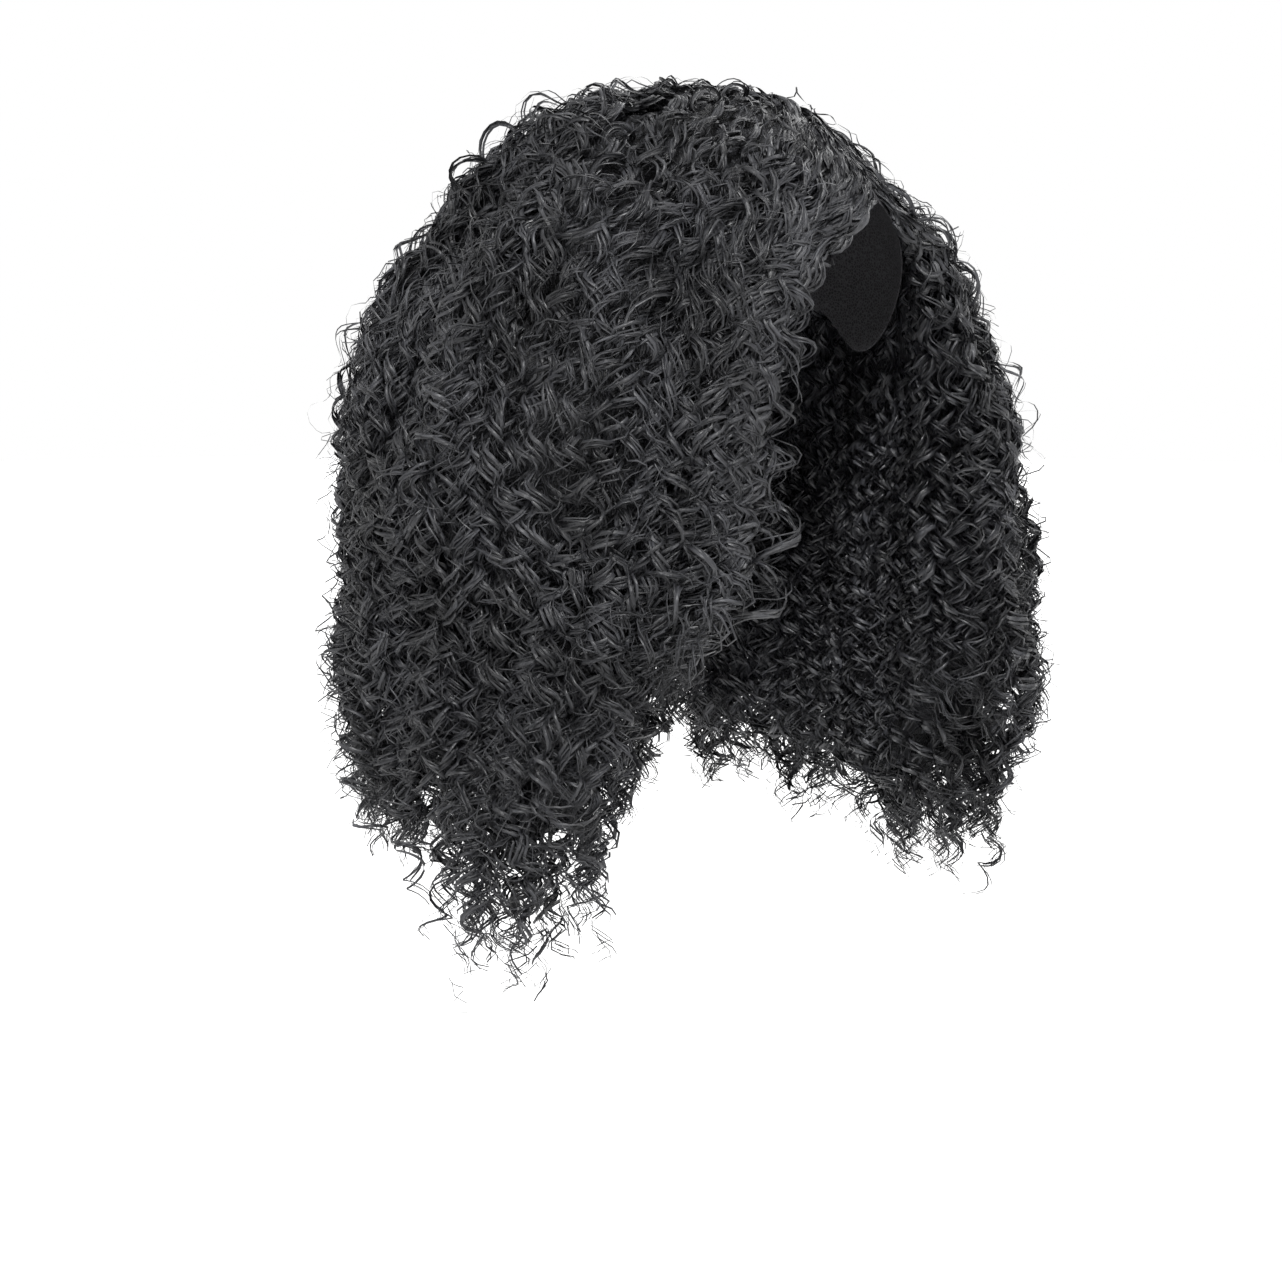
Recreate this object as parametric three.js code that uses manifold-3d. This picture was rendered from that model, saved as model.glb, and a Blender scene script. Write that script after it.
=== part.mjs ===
// An afro wig: a thin cap under five sections of long corkscrew curls, parted on the wearer's left.
// It hangs as it does on a head that nods a little forwards.
// Millimetres, +Z up. The face looks along -Y, and the wearer's left is +X. A bearing is measured
// round the upright axis, from the face at 0 to the left ear at 90; the right ear is at -90.
// The origin is the top of the head, where it meets the inside of the cap.
import * as THREE from "three";
import { mergeVertices } from "three/addons/utils/BufferGeometryUtils.js";
import Module from "manifold-3d";

const wasm = await Module();
wasm.setup();

const { degToRad, radToDeg, lerp, clamp, smoothstep } = THREE.MathUtils;

// The head that the cap fits: an ellipsoid that nods forwards
const headHalfWidth = 78;
const headHalfLength = 98;
const headRise = 98; // from the head's middle to its top
const headNod = degToRad(15);

// The cap
const capWall = 1.6;
const capColumns = 32;
const capRows = 6;

// Clearances
const capGap = 0.35; // between the cap and the hair
const sectionGap = 0.5; // between two sections of hair
const neckClearance = 4; // round the head, from its middle down
const underCap = degToRad(8); // how far the head's room follows its form below the cap
const underCapRows = 3;

// The hair's outer form, measured from the upright axis
const hairRise = 14; // over the top of the head
const hairDrop = 404; // from the top of the head to the longest tip
const hairLeftReach = 172;
const hairRightReach = 175;
const hairFrontReach = 128;
const hairBackReach = 192;
const slopeStep = 3; // to each side of a height, when the outer form's slope there is measured

// The parting and the face opening
const partOffset = 18; // towards the wearer's left
const partFloor = 3; // the groove's bottom, over the cap
const partFlare = 0.45; // how far each side of the groove leans out, per mm of height
const partHalf = 2; // the bearing from its middle to the first lock, in degrees
const partHeight = 42; // tall enough to cut through the hair over it
const partStart = -70; // where the groove starts, in degrees round the head from its top
const partEase = -25; // where its floor starts to rise
const partEnd = 15; // where the groove ends, at the hair's surface
const partRows = 10;
const hairlineDrop = 45; // from the top of the head to the opening's peak, at the parting

// The locks, which show as ridges on the fused mass and hang below it as loose tips
const massRows = 16;
const rowCrowding = 1.6; // 1 spaces the rows evenly, and more draws them towards the top
const ridgeColumns = 4; // to each lock
const ridgeDepth = 12;
const ridgeFade = 100; // how far below the crown the ridges reach that depth
const ridgeWave = 0.35; // the share of a ridge's depth that rises and falls along it
const ridgeHang = 17; // how much lower a ridge ends than the valleys beside it
const lockSwing = 5; // how far a lock wanders to each side as it winds down
const swingFade = 45; // nearer to the upright axis than this, locks wander less
const lockPitch = 92; // the height of one wave
const lockLag = 0.19; // how far a lock's wave runs ahead of its neighbour's, in waves
const tipReach = 52; // how far the tips hang below the mass
const tipRoot = 30; // how far they reach up into it
const tipRadius = 12;
const tipEnd = 3;
const tipStep = 26;
const tipSides = 5;
const innerTipDepth = 46; // from the outer form to the inner row of tips
const innerTipRise = 14; // how much higher that row ends
const settling = 5; // rounds in which the end of a lock that wanders settles on the hem
const sliver = 0.002; // edges shorter than this are merged away
const sameCorner = 1e-4;

// The loose curl beside the right cheek
const curlRadius = 3.5;
const curlEnd = 2.6;
const curlWave = 6;
const curlPitch = 34;
const curlStep = 7;
const curlTop = 128; // below the top of the head
const curlLength = 118;
const curlEmerging = 30; // how long it takes to come out of the mass
const curlRootTurn = 12; // from the opening's edge back into the mass, in degrees
const curlFreeTurn = 1; // from the opening's edge towards the face, in degrees
const curlRootReach = 106; // from the upright axis
const curlFreeReach = 118;

// The cap's edge: its height over the head's middle, in shares of headRise. Around is 0 at the
// face and 180 at the nape.
const capEdge = [
  { around: 0, height: 0.76 },
  { around: 22, height: 0.73 },
  { around: 42, height: 0.56 },
  { around: 58, height: 0.22 },
  { around: 69, height: -0.1 },
  { around: 80, height: -0.16 },
  { around: 92, height: 0.04 },
  { around: 108, height: 0.05 },
  { around: 126, height: -0.2 },
  { around: 150, height: -0.46 },
  { around: 180, height: -0.52 },
];

// Level sections of the hair from the top down. Drop is a share of the whole height, and the
// others are shares of the reach on that side.
const hairLevels = [
  { drop: 0.0, left: 0.03, right: 0.03, front: 0.03, back: 0.03 },
  { drop: 0.02, left: 0.15, right: 0.25, front: 0.23, back: 0.25 },
  { drop: 0.048, left: 0.25, right: 0.43, front: 0.4, back: 0.42 },
  { drop: 0.1, left: 0.38, right: 0.57, front: 0.6, back: 0.57 },
  { drop: 0.136, left: 0.46, right: 0.65, front: 0.69, back: 0.66 },
  { drop: 0.165, left: 0.58, right: 0.71, front: 0.75, back: 0.74 },
  { drop: 0.195, left: 0.71, right: 0.77, front: 0.8, back: 0.81 },
  { drop: 0.246, left: 0.82, right: 0.87, front: 0.84, back: 0.93 },
  { drop: 0.325, left: 0.88, right: 0.95, front: 0.87, back: 1.0 },
  { drop: 0.5, left: 0.98, right: 0.99, front: 0.94, back: 1.0 },
  { drop: 0.63, left: 1.0, right: 1.0, front: 1.0, back: 0.99 },
  { drop: 0.72, left: 1.0, right: 1.0, front: 1.0, back: 0.99 },
  { drop: 0.8, left: 0.95, right: 0.99, front: 0.94, back: 0.98 },
  { drop: 1.0, left: 0.82, right: 0.9, front: 0.8, back: 0.92 },
];

// The hem: how low the locks end, in shares of hairDrop, on each side of the face.
const hem = [
  { around: 30, right: 0.66, left: 0.68 },
  { around: 48, right: 0.69, left: 0.77 },
  { around: 62, right: 0.79, left: 0.88 },
  { around: 74, right: 0.93, left: 0.94 },
  { around: 84, right: 1.0, left: 0.93 },
  { around: 98, right: 0.91, left: 0.91 },
  { around: 115, right: 0.86, left: 0.88 },
  { around: 180, right: 0.84, left: 0.84 },
];

// The bearings of the face opening's two edges. Drop is a share of the way from its peak to the
// longest tip.
const faceEdges = [
  { drop: 0.0, right: -12, left: 13 },
  { drop: 0.03, right: 0, left: 25 },
  { drop: 0.07, right: 13, left: 31 },
  { drop: 0.12, right: 24, left: 36 },
  { drop: 0.25, right: 31, left: 38 },
  { drop: 0.34, right: 38, left: 40 },
  { drop: 0.53, right: 43, left: 43 },
  { drop: 0.61, right: 51, left: 47 },
  { drop: 0.69, right: 60, left: 54 },
  { drop: 1.0, right: 66, left: 62 },
];

// The sections of hair, each between two bearings. Those in front start at the parting.
const sections = [
  { name: "hair_front_left", from: 0, to: 90, locks: 7 },
  { name: "hair_side_left", from: 90, to: 135, locks: 4 },
  { name: "hair_back", from: 135, to: 225, locks: 8 },
  { name: "hair_side_right", from: 225, to: 270, locks: 4 },
  { name: "hair_front_right", from: 270, to: 360, locks: 7 },
];

const hairHeight = hairRise + hairDrop;
const beyond = 2 * (hairHeight + hairBackReach); // outside everything
const turn = 2 * Math.PI;
const top = topOfHead();

// The value of a table's column at a place between its rows.
function read(table, key, at, column) {
  let i = 1;
  while (i < table.length - 1 && table[i][key] < at) i += 1;
  const [a, b] = [table[i - 1], table[i]];
  const t = clamp((at - a[key]) / (b[key] - a[key]), 0, 1);
  return lerp(a[column], b[column], t);
}

// How far a bearing lies from the face, in degrees from 0 to 180.
function fromFace(bearing) {
  const whole = THREE.MathUtils.euclideanModulo(bearing, 360);
  return Math.min(whole, 360 - whole);
}

function isLeft(bearing) {
  return Math.sin(degToRad(bearing)) > 0;
}

// The level unit vector that points along a bearing.
function towards(bearing) {
  return new THREE.Vector3(Math.sin(degToRad(bearing)), -Math.cos(degToRad(bearing)), 0);
}

// The highest point of the nodding head, from the head's middle.
function topOfHead() {
  const run = headHalfLength * Math.sin(headNod);
  const rise = headRise * Math.cos(headNod);
  const height = Math.hypot(run, rise);
  return nod(new THREE.Vector3(0, (headHalfLength * run) / height, (headRise * rise) / height));
}

function nod(point) {
  return point.applyAxisAngle(new THREE.Vector3(1, 0, 0), headNod);
}

// A point of the head's form, swollen by an offset. Down is the angle from the head's top.
function headPoint(bearing, down, offset) {
  const out = towards(bearing).multiplyScalar(Math.sin(down));
  const point = new THREE.Vector3(
    out.x * (headHalfWidth + offset),
    out.y * (headHalfLength + offset),
    Math.cos(down) * (headRise + offset),
  );
  return nod(point).sub(top);
}

// The hair's outer radius at a bearing and a height.
function hairReach(bearing, z) {
  const drop = (hairRise - z) / hairHeight;
  const [side, sideReach] = isLeft(bearing) ? ["left", hairLeftReach] : ["right", hairRightReach];
  const inFront = fromFace(bearing) < 90;
  const [end, endReach] = inFront ? ["front", hairFrontReach] : ["back", hairBackReach];
  const across = sideReach * read(hairLevels, "drop", drop, side);
  const along = endReach * read(hairLevels, "drop", drop, end);
  const way = towards(bearing);
  return (across * along) / Math.hypot(along * way.x, across * way.y);
}

// A point an inset's depth under the hair's outer form, with the way out of it there.
function hairPoint(bearing, z, inset) {
  const high = Math.min(z + slopeStep, hairRise);
  const low = z - slopeStep;
  const slope = (hairReach(bearing, low) - hairReach(bearing, high)) / (high - low);
  const out = towards(bearing).add(new THREE.Vector3(0, 0, slope)).normalize();
  const point = towards(bearing).multiplyScalar(hairReach(bearing, z)).setZ(z);
  return { point: point.addScaledVector(out, -inset), out };
}

// The bearing of the face opening's edge at a height, and above its peak that of the parting.
function faceEdge(z, side) {
  const drop = (-z - hairlineDrop) / (hairDrop - hairlineDrop);
  const sign = side === "left" ? 1 : -1;
  const parting = faceEdges[0].left * smoothstep(hairRise - z, 0, hairRise) + sign * partHalf;
  const edge = sign * read(faceEdges, "drop", drop, side);
  return lerp(parting, edge, smoothstep(drop, 0, faceEdges[1].drop));
}

function hemHeight(bearing) {
  return -hairDrop * read(hem, "around", fromFace(bearing), isLeft(bearing) ? "left" : "right");
}

// A geometry's triangles, with shared corners merged, as a solid.
function solidOf(geometry) {
  const bare = geometry.clone();
  bare.deleteAttribute("normal");
  bare.deleteAttribute("uv");
  const merged = mergeVertices(bare, sameCorner);
  const vertProperties = new Float32Array(merged.getAttribute("position").array);
  const triVerts = new Uint32Array(merged.index.array);
  return new wasm.Manifold(new wasm.Mesh({ numProp: 3, vertProperties, triVerts }));
}

// A solid skinned over rings of equally many points, between two end points. Seen from the first
// end, the rings run anticlockwise.
function skin(first, rings, last) {
  const count = rings[0].length;
  const points = [first, ...rings.flat(), last];
  const at = (ring, column) => 1 + ring * count + (column % count);
  const end = points.length - 1;
  const index = [];
  for (let c = 0; c < count; c += 1) {
    index.push(0, at(0, c), at(0, c + 1));
    for (let r = 0; r < rings.length - 1; r += 1) {
      index.push(at(r, c), at(r + 1, c), at(r + 1, c + 1));
      index.push(at(r, c), at(r + 1, c + 1), at(r, c + 1));
    }
    index.push(end, at(rings.length - 1, c + 1), at(rings.length - 1, c));
  }
  const geometry = new THREE.BufferGeometry().setFromPoints(points);
  geometry.setIndex(index);
  return solidOf(geometry);
}

function middleOf(points) {
  return points.reduce((sum, p) => sum.add(p), new THREE.Vector3()).divideScalar(points.length);
}

// Level columns round the upright axis, as bearings.
function bearings(count) {
  return Array.from({ length: count }, (_, i) => (i * 360) / count);
}

// The angle from the head's top down to the cap's edge.
function capEdgeAngle(bearing) {
  return Math.acos(read(capEdge, "around", fromFace(bearing), "height"));
}

// The rows of a dome over the head, down to the cap's edge.
function domeRings(offset) {
  return Array.from({ length: capRows }, (_, row) =>
    bearings(capColumns).map((bearing) =>
      headPoint(bearing, (capEdgeAngle(bearing) * (row + 1)) / capRows, offset),
    ),
  );
}

function makeCap() {
  const rings = [...domeRings(capWall), ...domeRings(0).reverse()];
  return skin(headPoint(0, 0, capWall), rings, headPoint(0, 0, 0));
}

// The room under the hair: the cap's place, the head's below it, and a well for the neck.
function makeHeadRoom() {
  const swell = capWall + capGap;
  const rings = domeRings(swell);
  for (let row = 1; row <= underCapRows; row += 1) {
    rings.push(
      bearings(capColumns).map((bearing) => {
        const edge = capEdgeAngle(bearing);
        const end = Math.max(edge, Math.PI / 2) + underCap;
        return headPoint(bearing, lerp(edge, end, row / underCapRows), swell);
      }),
    );
  }
  const middle = top.clone().negate();
  const dome = skin(headPoint(0, 0, swell), rings, middle);
  const shade = Math.hypot(headHalfLength * Math.cos(headNod), headRise * Math.sin(headNod));
  const well = new THREE.CylinderGeometry(1, 1, beyond, capColumns);
  well.rotateX(Math.PI / 2);
  well.scale(headHalfWidth + neckClearance, shade + neckClearance, 1);
  well.translate(0, middle.y, middle.z - beyond / 2);
  return dome.add(solidOf(well));
}

// The bearing at a height of a place across a section. Share runs from 0 at one side of the
// section to 1 at the other. A section in front fans out from the parting and the face.
function lockBearing({ from, to, locks }, share, z) {
  const start = from === 0 ? faceEdge(z, "left") : from;
  const end = to === 360 ? 360 + faceEdge(z, "right") : to;
  const middle = lerp(start, end, share);
  const margin = smoothstep(share * (1 - share), 0, 1 / locks);
  const swing = lockSwing * margin * Math.sin(waveAngle(locks * share, z));
  return middle + radToDeg(swing / Math.max(hairReach(middle, z), swingFade));
}

function waveAngle(lock, z) {
  return turn * (z / lockPitch + lockLag * lock);
}

// The fused mass, full to the axis, with a ridge for each lock. Its rows lie closer at the top,
// where it curves most.
function makeMass() {
  const places = sections.flatMap((section) =>
    Array.from({ length: section.locks * ridgeColumns }, (_, i) => ({ section, column: i })),
  );
  places.push({ section: sections.at(-1), column: sections.at(-1).locks * ridgeColumns });
  const rings = [];
  for (let row = 1; row <= massRows; row += 1) {
    rings.push(places.map((place) => massPoint(place, (row / massRows) ** rowCrowding)));
  }
  const foot = new THREE.Vector3(0, 0, hemHeight(180) + tipReach);
  return skin(new THREE.Vector3(0, 0, hairRise), rings, foot);
}

// A point of the mass: how far down its lock it lies is a share of that lock's height. A ridge
// hangs lower than the valleys beside it.
function massPoint({ section, column }, down) {
  const lock = column / ridgeColumns;
  const share = lock / section.locks;
  const ridge = Math.sin(Math.PI * (lock % 1));
  let z = hairRise;
  for (let i = 0; i < settling; i += 1) {
    const hemZ = hemHeight(lockBearing(section, share, z));
    z = lerp(hairRise, hemZ + tipReach - ridgeHang * ridge, down);
  }
  const wave = (1 + Math.cos(waveAngle(lock, z))) / 2;
  const depth = ridgeDepth * smoothstep(hairRise - z, 0, ridgeFade);
  const inset = depth * lerp(1 - ridge, wave, ridgeWave);
  return hairPoint(lockBearing(section, share, z), z, inset).point;
}

// The face opening: a wedge from the axis whose two sides follow the table.
function makeFaceOpening() {
  const rings = faceEdges.slice(1).map(({ drop, right, left }) => {
    const z = -lerp(hairlineDrop, hairDrop, drop);
    const sides = [towards(-right), towards(left)].map((way) => way.multiplyScalar(beyond).setZ(z));
    return [new THREE.Vector3(0, 0, z), ...sides];
  });
  rings.push(rings.at(-1).map((point) => point.clone().setZ(-beyond)));
  const peak = towards(faceEdges[0].left).multiplyScalar(beyond).setZ(-hairlineDrop);
  return skin(peak, rings, middleOf(rings.at(-1)));
}

// The parting: a groove over the cap, from in front of the hairline to the crown, where it ends
// at the hair's surface.
function makeParting() {
  const rings = [];
  for (let row = 0; row <= partRows; row += 1) {
    const down = lerp(partStart, partEnd, row / partRows);
    const floor = lerp(partFloor, hairRise, smoothstep(down, partEase, partEnd));
    const low = headPoint(180, degToRad(down), capWall + floor);
    const high = headPoint(180, degToRad(down), capWall + floor + partHeight);
    const spread = partHeight * partFlare;
    const across = [-spread, spread].map((x) => high.clone().setX(partOffset + x));
    rings.push([low.setX(partOffset), ...across]);
  }
  return skin(middleOf(rings[0]), rings, middleOf(rings.at(-1)));
}

// A round lock that winds about a path and tapers to its tip. The path gives places and ways out.
function makeLock(path, { wave, pitch, radiusAt }) {
  const rings = [];
  let run = 0;
  path.forEach(({ point, out }, i) => {
    const before = path[Math.max(i - 1, 0)].point;
    const after = path[Math.min(i + 1, path.length - 1)].point;
    const along = after.clone().sub(before).normalize();
    const side = out.clone().cross(along).normalize();
    const face = side.clone().cross(along);
    const spoke = (angle) =>
      side.clone().multiplyScalar(Math.sin(angle)).addScaledVector(face, Math.cos(angle));
    run += point.distanceTo(before);
    const centre = point.clone().addScaledVector(spoke((run / pitch) * turn), wave);
    const ring = Array.from({ length: tipSides }, (_, k) => spoke((0.25 - k / tipSides) * turn));
    rings.push(ring.map((way) => way.multiplyScalar(radiusAt(run)).add(centre)));
  });
  const tip = middleOf(rings.at(-1));
  tip.z -= radiusAt(run);
  return skin(middleOf(rings[0]), rings, tip);
}

// The loose tip of a lock, which hangs out of the mass.
function hangingTip(section, lock, depth, rise) {
  const share = (lock + 0.5) / section.locks;
  let bottom = -hairDrop;
  for (let i = 0; i < settling; i += 1) {
    bottom = hemHeight(lockBearing(section, share, bottom)) + rise;
  }
  const length = tipReach + tipRoot - rise;
  const steps = Math.round(length / tipStep);
  const path = Array.from({ length: steps + 1 }, (_, i) => {
    const z = bottom + length * (1 - i / steps);
    return hairPoint(lockBearing(section, share, z), z, depth);
  });
  const radiusAt = (run) => lerp(tipRadius, tipEnd, smoothstep(run, tipRoot / 2, length));
  return makeLock(path, { wave: 0, pitch: lockPitch, radiusAt });
}

// A section's tips: an outer one for each lock, and an inner one under every other lock.
function sectionTips(section) {
  const tips = [];
  for (let lock = 0; lock < section.locks; lock += 1) {
    tips.push(hangingTip(section, lock, tipRadius, 0));
    if (lock % 2 === 1) tips.push(hangingTip(section, lock, innerTipDepth, innerTipRise));
  }
  return tips;
}

// The thin loose curl beside the right cheek, rooted in the mass at the opening's edge.
function cheekCurl() {
  const path = [];
  for (let run = 0; run <= curlLength; run += curlStep) {
    const z = -curlTop - run;
    const free = smoothstep(run, 0, curlEmerging);
    const out = towards(faceEdge(z, "right") - lerp(curlRootTurn, -curlFreeTurn, free));
    const reach = lerp(curlRootReach, curlFreeReach, free);
    path.push({ point: out.clone().multiplyScalar(reach).setZ(z), out });
  }
  const radiusAt = (run) => lerp(curlRadius, curlEnd, run / curlLength);
  return makeLock(path, { wave: curlWave, pitch: curlPitch, radiusAt });
}

// The upright block of space that a section fills, half a gap inside its two sides.
function sectionBlock({ from, to }) {
  const half = degToRad(to - from) / 2;
  const corner = towards((from + to) / 2).multiplyScalar(sectionGap / 2 / Math.sin(half));
  if (from === 0 || to === 360) corner.x += partOffset;
  const ends = [from, to].map((bearing) => towards(bearing).multiplyScalar(beyond).add(corner));
  const outline = new THREE.Shape([corner, ...ends].map(({ x, y }) => new THREE.Vector2(x, y)));
  const block = new THREE.ExtrudeGeometry(outline, { depth: 2 * beyond, bevelEnabled: false });
  block.translate(0, 0, -beyond);
  return solidOf(block);
}

// The largest of a solid's bodies, without the chips that the cuts leave.
function largestBody(solid) {
  const bodies = solid.simplify(sliver).decompose();
  return bodies.reduce((best, body) => (body.volume() > best.volume() ? body : best));
}

// A named mesh of a solid.
function meshOf(name, solid, material) {
  const { vertProperties, triVerts } = solid.getMesh();
  const geometry = new THREE.BufferGeometry();
  geometry.setAttribute("position", new THREE.BufferAttribute(new Float32Array(vertProperties), 3));
  geometry.setIndex(new THREE.BufferAttribute(new Uint32Array(triVerts), 1));
  geometry.computeVertexNormals();
  const mesh = new THREE.Mesh(geometry, material);
  mesh.name = name;
  return mesh;
}

const grown = wasm.Manifold.union([makeMass(), ...sections.flatMap(sectionTips)]);
const carved = grown.subtract(makeFaceOpening()).subtract(makeParting()).add(cheekCurl());
const hair = carved.subtract(makeHeadRoom());

const wig = new THREE.Group();
const capMaterial = new THREE.MeshStandardMaterial({ color: 0x1c1b1d, roughness: 0.85 });
wig.add(meshOf("cap", makeCap(), capMaterial));
for (const section of sections) {
  const material = new THREE.MeshStandardMaterial({ color: 0x26262a, roughness: 0.5 });
  const solid = largestBody(hair.intersect(sectionBlock(section)));
  wig.add(meshOf(section.name, solid, material));
}

export default wig;
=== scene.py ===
"""An afro wig: long corkscrew curls over a thin cap, held up as it sits on a head.

Lengths are in metres. The face looks along -Y and the wearer's left is +X. A bearing is measured
in degrees round the upright axis, from the face at 0 to the left ear at 90. Travel is how far a
curl has come: 0 at the crown, 1 level with the middle of the head, and 1 more for each DROP below.
"""
import math

import bmesh
import bpy
import numpy as np
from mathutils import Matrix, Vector
from mathutils.bvhtree import BVHTree


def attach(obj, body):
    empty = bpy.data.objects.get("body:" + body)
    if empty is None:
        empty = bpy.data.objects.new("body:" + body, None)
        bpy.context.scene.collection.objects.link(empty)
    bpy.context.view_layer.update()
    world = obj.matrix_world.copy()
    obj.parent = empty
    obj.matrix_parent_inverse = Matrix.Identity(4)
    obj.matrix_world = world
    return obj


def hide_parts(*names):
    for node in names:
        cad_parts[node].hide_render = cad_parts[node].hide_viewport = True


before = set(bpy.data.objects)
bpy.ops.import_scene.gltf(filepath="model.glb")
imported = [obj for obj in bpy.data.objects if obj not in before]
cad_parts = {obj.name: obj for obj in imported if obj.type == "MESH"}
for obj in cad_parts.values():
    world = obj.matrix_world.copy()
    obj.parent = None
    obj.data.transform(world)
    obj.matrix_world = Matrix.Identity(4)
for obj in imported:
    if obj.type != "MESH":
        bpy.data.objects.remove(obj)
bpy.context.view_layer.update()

SEED = 20260
GOLDEN = (math.sqrt(5) - 1) / 2

# The camera and the floor
CAMERA_AIM = Vector((-0.026, 0.027, -0.250))
CAMERA_AZIMUTH = math.radians(-46)
CAMERA_ELEVATION = math.radians(4)
CAMERA_DISTANCE = 1.8
CAMERA_LENS = 107.0
CAMERA_SENSOR = 36
CAMERA_SIGHT = 50
FLOOR_Z = -1.0
FLOOR_HALF = 30.0

# The lights
LIGHTS_AIM = Vector((0, 0, -0.2))
AMBIENT = 0.85
KEY_LIGHT = dict(place=(-1.2, -1.3, 1.7), angle=10, power=4.6)
RIM_LIGHT = dict(place=(1.4, 0.4, 1.0), size=1.2, power=12)

# The form of the hair, which is measured on the CAD sections from the head's axis
HEAD_MIDDLE = 0.098  # from the top of the head down to its middle
DROP = 0.2
MEASURING_REACH = 0.5  # further out than any hair
PART_OFFSET = 0.018  # from the head's middle plane to the parting, on the wearer's left
PARTING_RADIUS = 0.11  # of the hair beside the parting, level with the middle of the head
PARTING_STEEPEST = 0.9  # the sine of the widest bearing that the parting may take near the crown
PARTING_GAP = 2.0  # degrees from the middle of the parting to the first curl
OPENING_TRAVEL = (0.58, 1.7)  # from its peak down to where the curls beside it hang straight
OPENING_WIDEST = 88  # degrees to either side of the face
LUMP_HEIGHT = 0.0055  # how far locks of curls stand out of the form or fall behind it
LUMP_ROUNDS = (4, 12)  # how often the lumps are evened out across and along the hair
THIN_HAIR = 0.05  # hair thinner than this has lower lumps
SMALLEST_REACH = 0.06  # from the head's axis to a curl, when its sway is turned into degrees
SMALLEST_LEVEL = 0.25  # the share of that which is level, near the crown

# The sections of hair, each between two bearings. Triangles is the most its curls and core may
# use. Inner, edge, parting and wisp are the shares of its curls' triangles for those on its inner
# side, beside the face, along the parting and loose beside the face.
SECTIONS = {
    "hair_front_left": dict(low=0, high=90, triangles=198000,
                            inner=0.12, edge=0.14, parting=0.06, wisp=0.015),
    "hair_side_left": dict(low=90, high=135, triangles=190000, inner=0.15),
    "hair_back": dict(low=135, high=225, triangles=199000, inner=0.13),
    "hair_side_right": dict(low=225, high=270, triangles=192000, inner=0.10),
    "hair_front_right": dict(low=270, high=360, triangles=199000,
                             inner=0.06, edge=0.12, parting=0.06, wisp=0.02),
}
EDGE_BAND = 0.1  # the share of a section's width beside the face whose hem is read further in
OVERLAP = 0.02  # the share of a section's width by which its hair reaches into its neighbours

# The kinds of curl, named in the order in which they grow.
#   part    the share of what the section's own shares leave, before these are made to add up
#   start   the travel where the highest curls start, or the range of starts near the crown
#   lean    over 1, more of the curls are high up
#   travel  how far a curl goes
#   root    how deep it starts under the hair's outer side
#   below   how deep it hangs there, or how far over the inner side for the inner kind; a curl of
#           the edge kind hangs at any depth
#   rise    the travel between the two depths
#   curl    the helix's radius at its root and at its tip
#   flat    how deep the helix is for its width
#   steps   the points to a turn
#   strands how many share a helix
#   width   the usual width of a strand
#   turned  whether every other strand shows its broad side to the side
#   wander  how far a curl strays sideways
#   frizz   how far a strand strays from its curl
CURLS = [
    dict(name="crown", part=0.18, start=(-0.06, 0.40), lean=1.6, travel=(0.7, 1.1),
         root=0.003, below=(-0.002, 0.003), rise=0.2, curl=(0.0014, 0.0042), flat=0.7,
         steps=7.5, strands=6, width=0.0014, wander=0.006, frizz=0.0007),
    dict(name="loop", part=0.02, start=(-0.04, 0.80), travel=(0.3, 0.5),
         root=0.004, below=(-0.009, -0.003), rise=0.2, curl=(0.0028, 0.0048), flat=1.0,
         steps=11, strands=4, width=0.0013, wander=0.012, frizz=0.0005, turned=True),
    dict(name="parting", part=0.0, start=(0.0, 0.12), lean=1.6, travel=(0.45, 0.8),
         root=0.002, below=(0.0, 0.003), rise=0.15, curl=(0.0008, 0.0030), flat=0.4,
         steps=7, strands=6, width=0.0015, wander=0.003, frizz=0.0006),
    dict(name="outer", part=0.41, start=(0.30,), travel=(0.8, 1.25),
         root=0.010, below=(-0.001, 0.007), rise=0.25, curl=(0.0028, 0.0044), flat=0.7,
         steps=8, strands=7, width=0.0014, wander=0.008, frizz=0.0007),
    dict(name="hem", part=0.22, start=(1.35,), travel=(0.55, 0.85),
         root=0.015, below=(0.001, 0.045), rise=0.2, curl=(0.0034, 0.0046), flat=0.9,
         steps=9, strands=8, width=0.0014, wander=0.008, frizz=0.0006, turned=True),
    dict(name="inner", part=0.0, start=(0.75,), travel=(0.9, 1.3),
         root=0.004, below=(0.0, 0.004), rise=0.3, curl=(0.0034, 0.0044), flat=0.7,
         steps=7, strands=5, width=0.0017, wander=0.007, frizz=0.0008),
    dict(name="edge", part=0.0, start=(0.42,), lean=0.8, travel=(0.7, 1.1),
         root=0.010, below=(0.0, 0.0), rise=0.3, curl=(0.0030, 0.0044), flat=0.8,
         steps=8, strands=5, width=0.0016, wander=0.005, frizz=0.0008),
    dict(name="frizz", part=0.10, start=(0.05,), travel=(0.35, 0.8),
         root=0.004, below=(-0.009, 0.003), rise=0.2, curl=(0.0026, 0.0045), flat=0.9,
         steps=10, strands=1, width=0.0006, wander=0.012, frizz=0.0022),
    dict(name="stray", part=0.07, start=(0.1,), travel=(0.35, 0.75),
         root=0.006, below=(-0.012, -0.003), rise=0.7, curl=(0.0030, 0.0052), flat=1.0,
         steps=12, strands=5, width=0.0014, wander=0.012, frizz=0.0004, turned=True),
    dict(name="wisp", part=0.0, start=(0.55,), lean=1.7, travel=(0.5, 0.9),
         root=0.006, below=(-0.004, 0.020), rise=0.4, curl=(0.0030, 0.0052), flat=1.0,
         steps=11, strands=3, width=0.0011, wander=0.010, frizz=0.0005, turned=True),
]

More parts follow.
